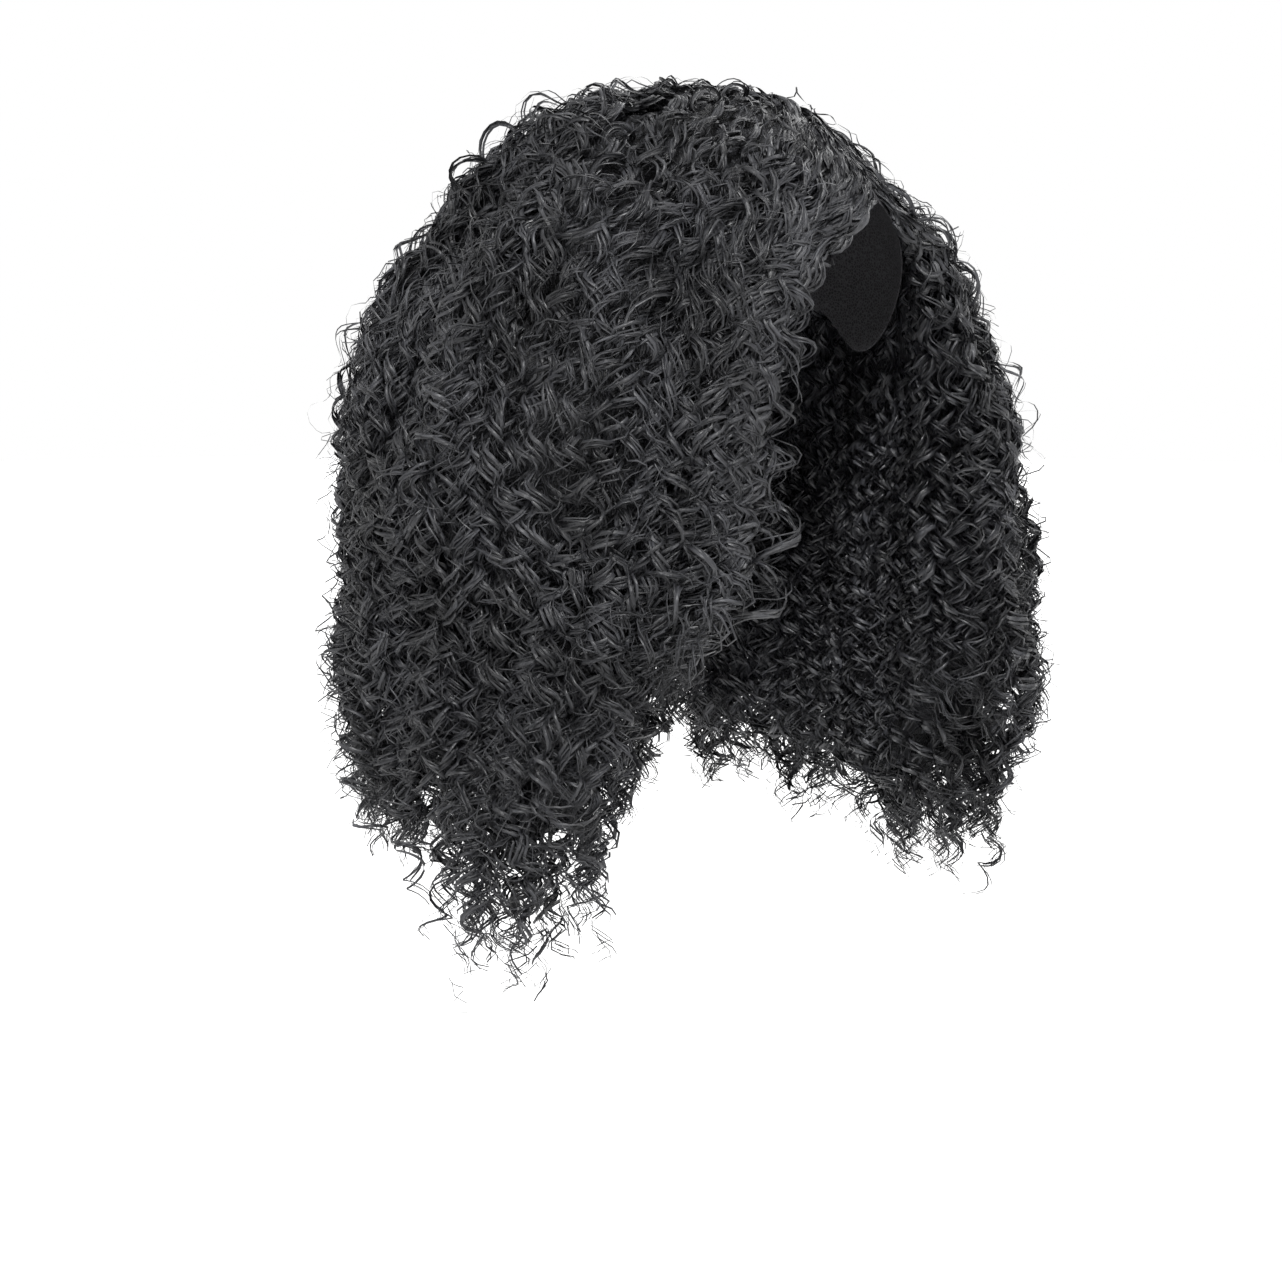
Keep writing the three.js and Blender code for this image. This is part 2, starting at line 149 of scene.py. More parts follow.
# Where the kinds that stay at the front of a parted section lie, as shares of its width
FRONT_SHARES = dict(edge=(0, 0.14), parting=(0, 0.42), wisp=(-0.08, 0.03), frizz=(0.05, 1),
                    stray=(0.05, 1), loop=(0.03, 1))

# How curls end at the hem, as travel
HEM_OVERRUN = 0.35  # past the hem, for the ends that are dealt out and then pulled back to it
HEM_RAGGED = (-0.20, 0.04)  # the range above or past the hem in which they end
HEM_RAGGED_LEAN = 0.7  # under 1, more of them end low
HEM_LOCK = 0.05  # how far neighbouring curls end together above or below the others
HEM_LOCK_WIDTH = 7  # degrees from one such lock to the next
SHORTEST_CURL = 0.3

# How the curls leave the parting and the crown. Shares count from the parting: those nearer than
# the fan start along it, as far down as the first travel given, and the rest at the second.
PARTED_FAN = 0.35
PARTED_START = (0.5, 0.02)
PARTED_SPREAD = 0.6  # the travel over which a curl then spreads out to its place
CROWN_TANGLE = 40.0  # degrees by which curls leave their section's fan near the crown
CROWN_TANGLE_TRAVEL = 0.4  # where they are back in it

# The wave that the curls share, and how far each leaves it
WAVE_HEIGHT = (0.025, 0.0165)  # one turn's height at the crown and low down
WAVE_CHANGE = (0.3, 1.4)  # the travel from which it shrinks, and the travel that this takes
WAVE_TRAVEL = (3, 601)  # the most travel, and the rows of the table for it
WAVE_SHIFTS = ((2.4, 3, 0), (1.6, 8, 1), (1.1, 19, 2))  # size in radians, waves round, phase
WAVE_STRETCH = 0.08  # how much longer or shorter than usual its turns are
WAVE_LOOSENESS = 1.0  # how far it is out of step, in radians

# How the strands of a curl leave its helix
UNEVEN = (0.75, 1.3)  # the range of a random length or size about its usual one
SIZE_WAVES = ((0.11, 0.05), 0.25)  # the lengths and the size of the changes in a curl's radius
CURL_GROWTH = 1.6  # a curl has its full radius after one part in so many of its length
SLIP = 0.16  # how far a strand is ahead of the others, in radians
SLIP_WAVES = ((0.09,), 0.2)
SPREAD = 0.14  # how much wider or narrower than the curl a strand winds
SPREAD_WAVES = ((0.07, 0.03), 0.15)
FRIZZ_LENGTHS = (0.045, 0.02, 0.011)
FRIZZ_GROWTH = (0.6, 0.8)  # a strand's frizz at its root, and how much more at its tip
APART = (0.0011, 0.0006, 0.0014)  # to the side, outwards and along
APART_ROOT = 0.5  # the part of that at a strand's root; at its tip it is one more
FACING = (0.6, 0.9)  # how far broad sides face along the helix's width, and out of the hair
RIBBON_ROLL = 0.35  # how far a strand's broad side turns away from the curl's, in radians
ROLL_LENGTHS = (0.06,)
RIBBON_WIDTHS = (0.4, 1.3)  # the range of a strand's width, for its kind's
ROOT_WIDTH = 0.5
ROOT_TAPER = 8  # a strand has its full width after one part in so many of its length
TIP_WIDTH = 0.35
TIP_TAPER = 0.2  # the share of its length over which it narrows again

# How a curl's middle line strays, as the lengths of its waves
SWAY_LENGTHS = (0.16, 0.09)
SWAY_GROWTH = 0.05  # the length after which it sways in full
DEPTH_LENGTHS = (0.12, 0.07)
DEPTH_SWAY = 0.002
CURL_ROOM = 0.6  # the share of a curl's radius that it keeps to the hair's sides
EDGE_DEEPEST = 0.95  # the share of the hair's thickness that curls beside the face may take
DEEPEST = 0.55  # and the other curls
GROW_THICKNESS = 3.0  # a curl has its full radius where the hair is so many radii thick
GROW_LEAST = 0.3

# The loose curl beside the right cheek
CHEEK_CURL = dict(curl=(0.0055, 0.0068), width=0.0016, frizz=0.0008, strands=6, flat=0.9)
CHEEK_CURL_TRAVEL = (1.12, 1.74)
CHEEK_CURL_POINTS = 60
CHEEK_CURL_TURN = (-8, 8)  # degrees past the edge of the opening, high up and low down
CHEEK_CURL_REACH = (0.104, 0.120)
CHEEK_CURL_CHANGE = (3, 3.4)  # the change is smooth(travel times the first, less the second)
CHEEK_CURL_PITCH = 0.030

# The dense dark hair under a section's curls
CORE_GRID = (40, 44)  # points across and down
CORE_EDGE = 0.07  # the share of a section's width that it leaves free beside the parting
CORE_DEPTH = (0.012, 0.024)  # how far under the curls it lies, above and at its foot
CORE_THINNEST = 0.3  # the share of the hair's thickness that it keeps over the inner side
INNER_CORE_DEPTH = (0.008, 0.020)  # how far over the hair's inner side it lies
INNER_CORE_SHARE = 0.2  # the most that those may be, as a share of the hair's thickness
CORE_TOP = 0.03  # the travel where it starts
CORE_ROWS = 0.9  # under 1, its rows are closer together low down
CORE_SHORT = (0.18, 0.46)  # the travel by which it stops short of the hem
CORE_FACE_SHORT = 0.75  # and by how much more beside the face
CORE_FACE_BAND = 0.35  # the share of the section's width that this fades over
CORE_TAPER = 0.7  # the travel over which its foot narrows
CORE_INSET = 0.26  # the share of the section's width by which its foot stands back from the face
CORE_LUMP = 0.003  # how far its points stand out or lie back
CORE_LUMP_THICKNESS = 0.03  # hair thinner than this has a smoother core

# How a piece's strands and core share its bake map
CORE_BAKE_SHARE = 0.12  # the part of the map's height that is the core's
BAKE_SHAPE = 4  # columns of cells for each row of them, as strands are long and narrow
BAKE_CELL = ((0.06, 0.88), (0.01, 0.97))  # a strand's place and size in its cell
BAKE_CORE = (0.49, 0.98)  # the size of each side of the core, in its own part of the map
BAKE_CORE_STEP = 1.02  # from its outer side to its inner one
BAKE_CORE_MARGIN = 0.99  # where it starts in its part, from the top of the map
TONE_STEP = 7  # strands take their tones out of order, from so many
TONE_CYCLE = 97

# The materials. The hair's shades are a dark and a light one, and the cap's are its threads' and
# its ground's.
FIBRE_SHADES = ((0.010, 0.010, 0.0115), (0.039, 0.040, 0.045))
FIBRE_TONES = (0.32, 0.72)  # the noise values that get the two shades
FIBRE_ROUGHNESS = (0.26, 0.51)
FIBRE_GROOVES = 5.0  # across a strand
RIBBON_ROUND = 3.0  # how much higher a strand's middle is than its edges, against its grooves
# The core's dark shade is below the curls' darkest, as painted shade in the gaps between curls;
# its light shade is the hair's own
CORE_TONES_AND_PAINTED_SHADE = ((0.005, 0.005, 0.0058), (0.040, 0.041, 0.046))
CORE_FIBRES = 75.0  # how fast its contour lines follow each other
CORE_FRIZZ = 5.0  # how far a fine noise moves them
# Painted shade and painted light: how far the hair's colour is darkened in patches as between
# locks, and lightened as on them
PAINTED_LOCK_SHADE_AND_LIGHT = (0.55, 1.35)  # how dark and how light the hair gets in patches
CAP_SHADES = ((0.050, 0.049, 0.053), (0.014, 0.0135, 0.015))
CAP_THREADS = (0.05, 0.2)  # how far from a thread's middle each shade is reached
FLOOR_SHADE = (0.9, 0.9, 0.9)


def smooth(x):
    """Eases from 0 to 1."""
    x = np.clip(x, 0.0, 1.0)
    return x * x * (3 - 2 * x)


def mix(a, b, t):
    return a + (b - a) * t


def towards(bearing):
    """The level unit vectors along bearings in degrees."""
    a = np.radians(bearing)
    return np.stack([np.sin(a), -np.cos(a), np.zeros_like(a)], -1)


def unit(v):
    return v / np.maximum(np.linalg.norm(v, axis=-1, keepdims=True), 1e-12)


def is_parted(section):
    """Whether the section has the parting and the face at one side."""
    return section["low"] == 0 or section["high"] == 360


class HairForm:
    """The inner and outer side of the hair, as distances from the head's axis."""

    STEP = 3.0
    BEARINGS = np.arange(1.5, 360, STEP)
    TRAVELS = np.linspace(0, 2.56, 65)

    def __init__(self, nodes):
        self.tree = self.joined_tree(nodes)
        bearing, travel = np.meshgrid(self.BEARINGS, self.TRAVELS, indexing="ij")
        starts = self.origin(travel)
        ways = self.way(bearing, np.maximum(travel, self.TRAVELS[1]))
        inner = np.full(bearing.shape, np.nan)
        outer = np.full(bearing.shape, np.nan)
        for i in np.ndindex(bearing.shape):
            start, way = Vector(starts[i]), Vector(ways[i])
            far = self.tree.ray_cast(start + way * MEASURING_REACH, -way, MEASURING_REACH)[3]
            if far is not None:
                outer[i] = MEASURING_REACH - far
                inner[i] = self.tree.ray_cast(start, way, MEASURING_REACH)[3]
        self.there = ~np.isnan(outer)
        self.hem = np.array([self.TRAVELS[row].max() for row in self.there])
        self.hem = self.ring_smooth(np.maximum.reduce([np.roll(self.hem, k) for k in (-1, 0, 1)]))
        self.find_edges()
        self.inner = self.evened(inner, np.minimum)
        self.outer = self.evened(outer, np.maximum)
        self.outer = self.outer + self.lumps() * smooth((self.outer - self.inner) / THIN_HAIR)

    @staticmethod
    def joined_tree(nodes):
        verts, faces = [], []
        for solid in nodes:
            faces += [[i + len(verts) for i in p.vertices] for p in solid.data.polygons]
            verts += [tuple(v.co) for v in solid.data.vertices]
        return BVHTree.FromPolygons(verts, faces)

    def find_edges(self):
        """The bearings of the face opening's edges, and above it those of the parting."""
        left, right = [], []
        for j, travel in enumerate(self.TRAVELS):
            level = math.cos(math.pi / 2 * max(1 - travel, 0))
            sine = PART_OFFSET / max(PARTING_RADIUS * level, 1e-6)
            parting = math.degrees(math.asin(min(sine, PARTING_STEEPEST)))
            low, high = parting, parting
            if OPENING_TRAVEL[0] < travel:
                at = min(j, int(np.searchsorted(self.TRAVELS, OPENING_TRAVEL[1])))
                there = self.there[:, at]
                while high < OPENING_WIDEST and not there[int(high // self.STEP) % len(there)]:
                    high += self.STEP
                while low > -OPENING_WIDEST and not there[int(low // self.STEP) % len(there)]:
                    low -= self.STEP
            left.append(high + PARTING_GAP)
            right.append(low - PARTING_GAP)
        window = np.ones(5) / 5
        self.left = np.convolve(np.pad(left, 2, "edge"), window, "valid")
        self.right = np.convolve(np.pad(right, 2, "edge"), window, "valid")

    def evened(self, values, best):
        """Fills the gaps of a measured side and evens out the ridges."""
        filled = values.copy()
        count = len(self.BEARINGS)
        fewest = count // 4
        for j in range(filled.shape[1]):
            known = np.flatnonzero(~np.isnan(filled[:, j]))
            if len(known) < fewest:
                filled[:, j] = filled[:, j - 1]
                continue
            wrapped = np.concatenate([known - count, known, known + count])
            filled[:, j] = np.interp(np.arange(count), wrapped, np.tile(filled[known, j], 3))
        filled = best.reduce([np.roll(filled, k, 0) for k in (-1, 0, 1)])
        for _ in range(2):
            filled = self.line_smooth(self.ring_smooth(filled))
        return filled

    def lumps(self):
        """How far the locks of curls stand out, as long smooth patches of random height."""
        field = np.random.default_rng(SEED).normal(0, 1, self.inner.shape)
        for _ in range(LUMP_ROUNDS[0]):
            field = self.ring_smooth(field)
        for _ in range(LUMP_ROUNDS[1]):
            field = self.line_smooth(field)
        return field / field.std() * LUMP_HEIGHT

    @staticmethod
    def ring_smooth(values):
        """Evens values out from bearing to bearing."""
        return (np.roll(values, 1, 0) + 2 * values + np.roll(values, -1, 0)) / 4

    @staticmethod
    def line_smooth(values):
        """Evens values out from travel to travel."""
        padded = np.pad(values, ((0, 0), (1, 1)), "edge")
        return (padded[:, :-2] + 2 * values + padded[:, 2:]) / 4

    @staticmethod
    def origin(travel):
        """The places on the head's axis that travels are measured from."""
        z = -HEAD_MIDDLE - np.maximum(travel - 1, 0) * DROP
        return np.stack([np.zeros_like(z), np.zeros_like(z), z], -1)

    @staticmethod
    def way(bearing, travel):
        """The unit vectors out of the hair: up at the crown, and level from travel 1 down."""
        up = np.maximum(1 - travel, 0) * math.pi / 2
        level = towards(bearing) * np.cos(up)[..., None]
        return level + np.stack([np.zeros_like(up), np.zeros_like(up), np.sin(up)], -1)

    def read(self, values, bearing, travel):
        """A measured side at any bearings and travels."""
        i = np.mod(bearing - self.BEARINGS[0], 360) / self.STEP
        j = np.clip(travel / self.TRAVELS[1], 0, len(self.TRAVELS) - 1.001)
        i0, j0 = np.floor(i).astype(int), np.floor(j).astype(int)
        a, b = i - i0, j - j0
        i0, i1 = i0 % len(self.BEARINGS), (i0 + 1) % len(self.BEARINGS)
        near = mix(values[i0, j0], values[i1, j0], a)
        return mix(near, mix(values[i0, j0 + 1], values[i1, j0 + 1], a), b)

    def hem_at(self, bearing):
        return np.interp(bearing, self.BEARINGS, self.hem, period=360)

    def bearing(self, section, share, travel):
        """The bearing of a place across a section, from 0 at its low side to 1 at its high one."""
        low, high = float(section["low"]), float(section["high"])
        if low == 0:
            low = np.interp(travel, self.TRAVELS, self.left)
        if high == 360:
            high = 360 + np.interp(travel, self.TRAVELS, self.right)
        return mix(low, high, share)

    def section_hem(self, section, share):
        """How far down the hair hangs across a section, read a little inside its face edge."""
        low = EDGE_BAND if section["low"] == 0 else 0.0
        high = 1 - EDGE_BAND if section["high"] == 360 else 1.0
        return self.hem_at(self.bearing(section, np.clip(share, low, high), OPENING_TRAVEL[1]))


def waves(rng, shape, along, lengths, size):
    """Slow random wander along each curl: the sum of sine waves of the lengths given."""
    total = 0.0
    for length in lengths:
        phase = rng.uniform(0, 2 * math.pi, shape)[..., None]
        stretch = rng.uniform(*UNEVEN, shape)[..., None]
        total = total + np.sin(along * 2 * math.pi / (length * stretch) + phase)
    return total * size / len(lengths)


def wave_clock():
    """The angle of the shared wave as the travel grows, as a table."""
    travel = np.linspace(0, *WAVE_TRAVEL)
    height = mix(*WAVE_HEIGHT, smooth((travel - WAVE_CHANGE[0]) / WAVE_CHANGE[1]))
    turns = np.cumsum(DROP * np.gradient(travel) / height)
    return travel, turns * 2 * math.pi


CLOCK = wave_clock()


def wave_angle(rng, bearing, travel):
    """The angle of each curl's wave: roughly in step with its neighbours."""
    count = len(travel)
    b = np.radians(bearing[:, -1])
    local = sum(size * np.sin(times * b + phase) for size, times, phase in WAVE_SHIFTS)
    angle = np.interp(travel, *CLOCK)
    stretch = rng.normal(1, WAVE_STRETCH, (count, 1))
    drift = (angle - angle[:, :1]) * stretch + angle[:, :1]
    return drift + (local + rng.normal(0, WAVE_LOOSENESS, count))[:, None]


def run_along(lines):
    """How far each point of the lines is from its line's start, along it."""
    steps = np.linalg.norm(np.diff(lines, axis=1), axis=-1)
    return np.concatenate([np.zeros((len(lines), 1)), np.cumsum(steps, 1)], 1)


def wind(rng, centre, out, kind, angle, grow):
    """Winds each centre line into a bunch of strands that share one flattened helix.

    centre and out have the shape (curls, steps, 3). Returns the strands' own centre lines, the
    ways that their broad sides face, and their widths.
    """
    curls, steps, _ = centre.shape
    strands = kind["strands"]
    shape = (curls, strands)
    along = np.linspace(0, 1, steps)
    run = run_along(centre)
    forward = unit(np.gradient(centre, axis=1))
    side = unit(np.cross(out, forward))
    face = np.cross(forward, side)

    size = rng.uniform(*UNEVEN, (curls, 1)) * (1 + waves(rng, (curls,), run, *SIZE_WAVES))
    radius = mix(*kind["curl"], smooth(along * CURL_GROWTH)) * size * grow
    hand = rng.choice([-1, 1], (curls, 1, 1))
    run = run[:, None, :]
    slip = rng.normal(0, SLIP, shape)[..., None]
    angle = angle[:, None, :] + slip * (1 + along) + waves(rng, shape, run, *SLIP_WAVES)
    spread = 1 + rng.normal(0, SPREAD, shape)[..., None] + waves(rng, shape, run, *SPREAD_WAVES)
    ring = (radius[:, None, :] * spread)[..., None]
    sideways, deep = np.sin(angle)[..., None], (hand * np.cos(angle))[..., None]
    wide, outer = side[:, None], face[:, None]
    line = centre[:, None] + ring * (deep * kind["flat"] * outer + sideways * wide)
    outward = unit(deep * outer + FACING[0] * sideways * wide + FACING[1] * outer)

    for way, apart in zip((side, face, forward), APART):
        loose = waves(rng, shape, run, FRIZZ_LENGTHS, kind["frizz"])
        loose = loose * (FRIZZ_GROWTH[0] + FRIZZ_GROWTH[1] * along)
        offset = rng.normal(0, apart, shape)[..., None] * (APART_ROOT + along) * (strands > 1)
        line = line + (loose + offset)[..., None] * way[:, None]

    roll = rng.normal(0, RIBBON_ROLL, shape)[..., None]
    roll = roll + waves(rng, shape, run, ROLL_LENGTHS, RIBBON_ROLL)
    if kind.get("turned"):
        roll = roll + (np.arange(strands) % 2 * math.pi / 2)[:, None]
    across = np.cross(unit(np.gradient(line, axis=2)), outward)
    outward = unit(np.cos(roll)[..., None] * outward + np.sin(roll)[..., None] * across)

    width = kind["width"] * rng.uniform(*RIBBON_WIDTHS, shape)[..., None]
    tip = smooth((along - (1 - TIP_TAPER)) / TIP_TAPER)
    taper = mix(ROOT_WIDTH, 1.0, smooth(along * ROOT_TAPER)) * mix(1.0, TIP_WIDTH, tip)
    flat = (curls * strands, steps)
    return line.reshape(*flat, 3), outward.reshape(*flat, 3), (width * taper).reshape(flat)


def parted_start(section, share):
    """Where a curl of a parted section starts, and its share counted from the parting."""
    from_parting = share if section["low"] == 0 else 1 - share
    return mix(*PARTED_START, np.minimum(from_parting / PARTED_FAN, 1)), from_parting


def parted_share(section, share, travel):
    """Where a curl is across its section as it travels, when its front edge is the parting."""
    start, final = parted_start(section, share)
    first = np.maximum(final - PARTED_FAN, 0) / (1 - PARTED_FAN)
    moved = mix(first, final, smooth((travel - start) / PARTED_SPREAD))
    return moved if section["low"] == 0 else 1 - moved


def kind_parts(section):
    """The share of a section's triangles that each kind of curl gets."""
    own = [section.get(kind["name"], 0) for kind in CURLS]
    rest = (1 - sum(own)) / sum(kind["part"] for kind in CURLS)
    return [kind["part"] * rest or part for kind, part in zip(CURLS, own)]


def deal_curls(rng, form, section, kind, curls):
    """Each curl's share of the section's width, and the travels where it starts and ends."""
    parted = is_parted(section)
    share = (np.arange(curls) + rng.uniform(0, 1, curls)) / curls
    dealt = np.mod(np.arange(curls) * GOLDEN + rng.uniform(0, 1), 1) ** kind.get("lean", 1)
    least, most = FRONT_SHARES.get(kind["name"], (0, 1)) if parted else (-OVERLAP, 1)
    share = mix(least, most + OVERLAP * (most == 1), share)
    if section["low"] != 0:
        share = 1 - share
    length = mix(*kind["travel"], rng.uniform(0, 1, curls))
    hem = form.section_hem(section, share)
    locks = share * (section["high"] - section["low"]) / HEM_LOCK_WIDTH
    hem = hem + HEM_LOCK * np.sin(locks * 2 * math.pi)
    if len(kind["start"]) > 1:
        start = mix(*kind["start"], dealt)
        if parted:
            start = start + parted_start(section, share)[0]
        end = start + length
    else:
        first = kind["start"][0] + length
        end = mix(first, np.maximum(hem + HEM_OVERRUN, first), dealt)
    ragged = rng.uniform(0, 1, curls) ** HEM_RAGGED_LEAN
    end = np.minimum(end, hem + mix(*HEM_RAGGED, ragged))
    start = end - length
    if parted:
        start = np.maximum(start, parted_start(section, share)[0])
    return share[:, None], np.minimum(start, end - SHORTEST_CURL)[:, None], end[:, None]


def grow_curls(rng, form, section, kind, budget):
    """The strands of one kind of curl in one section."""
    length = sum(kind["travel"]) / 2 * DROP
    steps = int(round(length / (sum(WAVE_HEIGHT) / 2) * kind["steps"]))
    curls = int(budget // (2 * (steps - 1) * kind["strands"]))
    if curls == 0:
        return None
    share, start, end = deal_curls(rng, form, section, kind, curls)
    travel = mix(start, end, np.linspace(0, 1, steps)[None])
    parted = is_parted(section)
    if parted:
        share = parted_share(section, share, travel)
    run = (travel - start) * DROP
    shape = (curls,)
    bearing = form.bearing(section, share, travel)
    if not parted:
        tangle = rng.uniform(-CROWN_TANGLE, CROWN_TANGLE, (curls, 1))
        bearing = bearing + tangle * (1 - smooth(travel / CROWN_TANGLE_TRAVEL))
    sway = waves(rng, shape, run, SWAY_LENGTHS, kind["wander"]) * smooth(run / SWAY_GROWTH)
    reach = np.maximum(form.read(form.outer, bearing, travel), SMALLEST_REACH)
    level = np.maximum(np.cos(np.maximum(1 - travel, 0) * math.pi / 2), SMALLEST_LEVEL)
    bearing = bearing + np.degrees(sway / (reach * level))

    inner = form.read(form.inner, bearing, travel)
    outer = form.read(form.outer, bearing, travel)
    thick = outer - inner
    radius = kind["curl"][1]
    at_edge = kind["name"] == "edge"
    risen = smooth((travel - start) / kind["rise"])
    place = rng.uniform(0, 1, (curls, 1))
    below = place * thick if at_edge else mix(*kind["below"], place)
    below = mix(kind["root"], below, risen) + waves(rng, shape, run, DEPTH_LENGTHS, DEPTH_SWAY)
    deepest = EDGE_DEEPEST * thick - radius * CURL_ROOM if at_edge else DEEPEST * thick
    below = np.minimum(below + radius * CURL_ROOM, deepest)
    reach = inner + below if kind["name"] == "inner" else outer - below
    out = form.way(bearing, travel)
    centre = form.origin(travel) + out * reach[..., None]
    grow = np.clip(thick / (GROW_THICKNESS * radius), GROW_LEAST, 1.0)
    return wind(rng, centre, out, kind, wave_angle(rng, bearing, travel), grow)


def cheek_curl(rng, form):
    """The strands of the loose curl beside the right cheek."""
    travel = np.linspace(*CHEEK_CURL_TRAVEL, CHEEK_CURL_POINTS)[None]
    change = smooth(travel * CHEEK_CURL_CHANGE[0] - CHEEK_CURL_CHANGE[1])
    bearing = 360 + np.interp(travel, form.TRAVELS, form.right) + mix(*CHEEK_CURL_TURN, change)
    reach = mix(*CHEEK_CURL_REACH, change)
    out = form.way(bearing, travel)
    centre = form.origin(travel) + out * reach[..., None]
    angle = (travel - travel[0, 0]) * DROP / CHEEK_CURL_PITCH * 2 * math.pi
    return wind(rng, centre, out, CHEEK_CURL, angle, 1.0)


def section_core(rng, form, section):
    """The dense dark hair under a section's curls: a closed solid that stays inside them.

    Returns its vertices, its four-sided faces, and the bake map's place for each face corner.
    """
    across, down = CORE_GRID
    low = CORE_EDGE if section["low"] == 0 else -0.5 * OVERLAP
    high = 1 - CORE_EDGE if section["high"] == 360 else 1 + 0.5 * OVERLAP
    share = np.linspace(low, high, across)
    ragged = np.convolve(rng.uniform(0, 1, across + 2), np.ones(3) / 3, "valid")
    end = form.section_hem(section, share) - mix(*CORE_SHORT, ragged)
    if is_parted(section):
        from_face = share if section["low"] == 0 else 1 - share
        end = end - CORE_FACE_SHORT * smooth(1 - from_face / CORE_FACE_BAND)
    travel = mix(CORE_TOP, end[:, None], np.linspace(0, 1, down)[None] ** CORE_ROWS)
    foot = smooth((travel - end[:, None]) / CORE_TAPER + 1)
    low_inset = CORE_INSET * foot if section["low"] == 0 else 0.0
    high_inset = CORE_INSET * foot if section["high"] == 360 else 0.0
    columns = np.linspace(0, 1, across)[:, None]
    share = mix(low + low_inset, high - high_inset, columns) + np.zeros_like(travel)

    bearing = form.bearing(section, share, travel)
    inner = form.read(form.inner, bearing, travel)
    outer = form.read(form.outer, bearing, travel)
    thick = outer - inner
    lumps = rng.uniform(-CORE_LUMP, CORE_LUMP, bearing.shape)
    lumps = lumps * np.minimum(thick / CORE_LUMP_THICKNESS, 1)
    top_reach = np.maximum(outer - mix(*CORE_DEPTH, foot), inner + CORE_THINNEST * thick) + lumps
    low_reach = inner + np.minimum(mix(*INNER_CORE_DEPTH, foot), INNER_CORE_SHARE * thick)
    out = form.way(bearing, travel)
    origin = form.origin(travel)
    sides = [origin + out * reach[..., None] for reach in (top_reach, low_reach)]
    verts = np.concatenate([side.reshape(-1, 3) for side in sides])

    at = np.arange(across * down).reshape(across, down)
    under = at + across * down
    i, j = np.meshgrid(np.arange(across - 1), np.arange(down - 1), indexing="ij")
    top = np.stack([at[i, j], at[i, j + 1], at[i + 1, j + 1], at[i + 1, j]], -1)
    bottom = np.stack([under[i, j], under[i + 1, j], under[i + 1, j + 1], under[i, j + 1]], -1)
    rim = np.concatenate([at[0, :-1], at[:-1, -1], at[-1, :0:-1], at[:0:-1, 0]])
    next_rim = np.roll(rim, -1)
    walls = np.stack([rim, rim + across * down, next_rim + across * down, next_rim], -1)
    quads = np.concatenate([top.reshape(-1, 4), bottom.reshape(-1, 4), walls])
    grid = np.meshgrid(np.linspace(0, 1, across), np.linspace(0, 1, down), indexing="ij")
    spot = np.stack(grid, -1).reshape(-1, 2)
    spot = np.concatenate([spot, spot + [BAKE_CORE_STEP, 0]])
    return verts, quads, spot[quads]


def triangles_in(bunch):
    """How many triangles ribbon_mesh makes of a bunch: two to a step."""
    count, steps, _ = bunch[0].shape
    return count * 2 * (steps - 1)


def ribbon_mesh(name, bunches, core):
    """One mesh of strands, each a narrow ribbon, and a core.

    Two UV maps come with it: 'strand' runs across each ribbon, from one whole number to the next,
    and along it in centimetres, and 'OFBake' lays the ribbons side by side with the core above.
    """
    verts, loops, sizes, strand_uv, bake_uv = [], [], [], [], []
    total = sum(len(line) for line, _, _ in bunches)
    columns = int(math.ceil(math.sqrt(total * BAKE_SHAPE)))
    rows = int(math.ceil(total / columns))
    (left, wide), (foot, tall) = BAKE_CELL
    across = np.array([0, 1, 1, 0])
    base = 0
    done = 0
    for line, outward, width in bunches:
        count, steps, _ = line.shape
        side = unit(np.cross(unit(np.gradient(line, axis=1)), outward))
        half = (width / 2)[..., None] * side
        verts.append(np.stack([line - half, line + half], 2).reshape(-1, 3))
        k, s = np.meshgrid(np.arange(count), np.arange(steps - 1), indexing="ij")
        first = base + (k * steps + s) * 2
        loops.append(np.stack([first, first + 1, first + 3, first + 2], -1).reshape(-1))
        sizes.append(np.full(k.size, 4))
        along = s[..., None] + np.array([0, 0, 1, 1])
        own = np.repeat(k[..., None], 4, -1)
        cell = done + own
        tone = cell * TONE_STEP % TONE_CYCLE
        centimetres = run_along(line)[own, along] * 100
        strand_uv.append(np.stack([tone + across, centimetres], -1).reshape(-1, 2))
        u = (cell % columns + left + wide * across) / columns
        v = (cell // columns + foot + tall * along / (steps - 1)) / rows * (1 - CORE_BAKE_SHARE)
        bake_uv.append(np.stack([u, v], -1).reshape(-1, 2))
        base += count * steps * 2
        done += count

    core_verts, core_quads, core_spots = core
    verts.append(core_verts)
    loops.append((core_quads + base).reshape(-1))
    sizes.append(np.full(len(core_quads), 4))
    strand_uv.append(np.zeros((core_quads.size, 2)))
    core_size = [BAKE_CORE[0], CORE_BAKE_SHARE * BAKE_CORE[1]]
    core_corner = [0, 1 - CORE_BAKE_SHARE * BAKE_CORE_MARGIN]
    bake_uv.append(core_spots.reshape(-1, 2) * core_size + core_corner)

    mesh = fill_mesh(name, np.concatenate(verts), np.concatenate(loops), np.concatenate(sizes))
    for uv_name, values in (("strand", strand_uv), ("OFBake", bake_uv)):
        layer = mesh.uv_layers.new(name=uv_name)
        layer.uv.foreach_set("vector", np.concatenate(values).astype(np.float32).reshape(-1))
    material_index = np.zeros(len(mesh.polygons), np.int32)
    material_index[-len(core_quads):] = 1
    mesh.polygons.foreach_set("material_index", material_index)
    return mesh


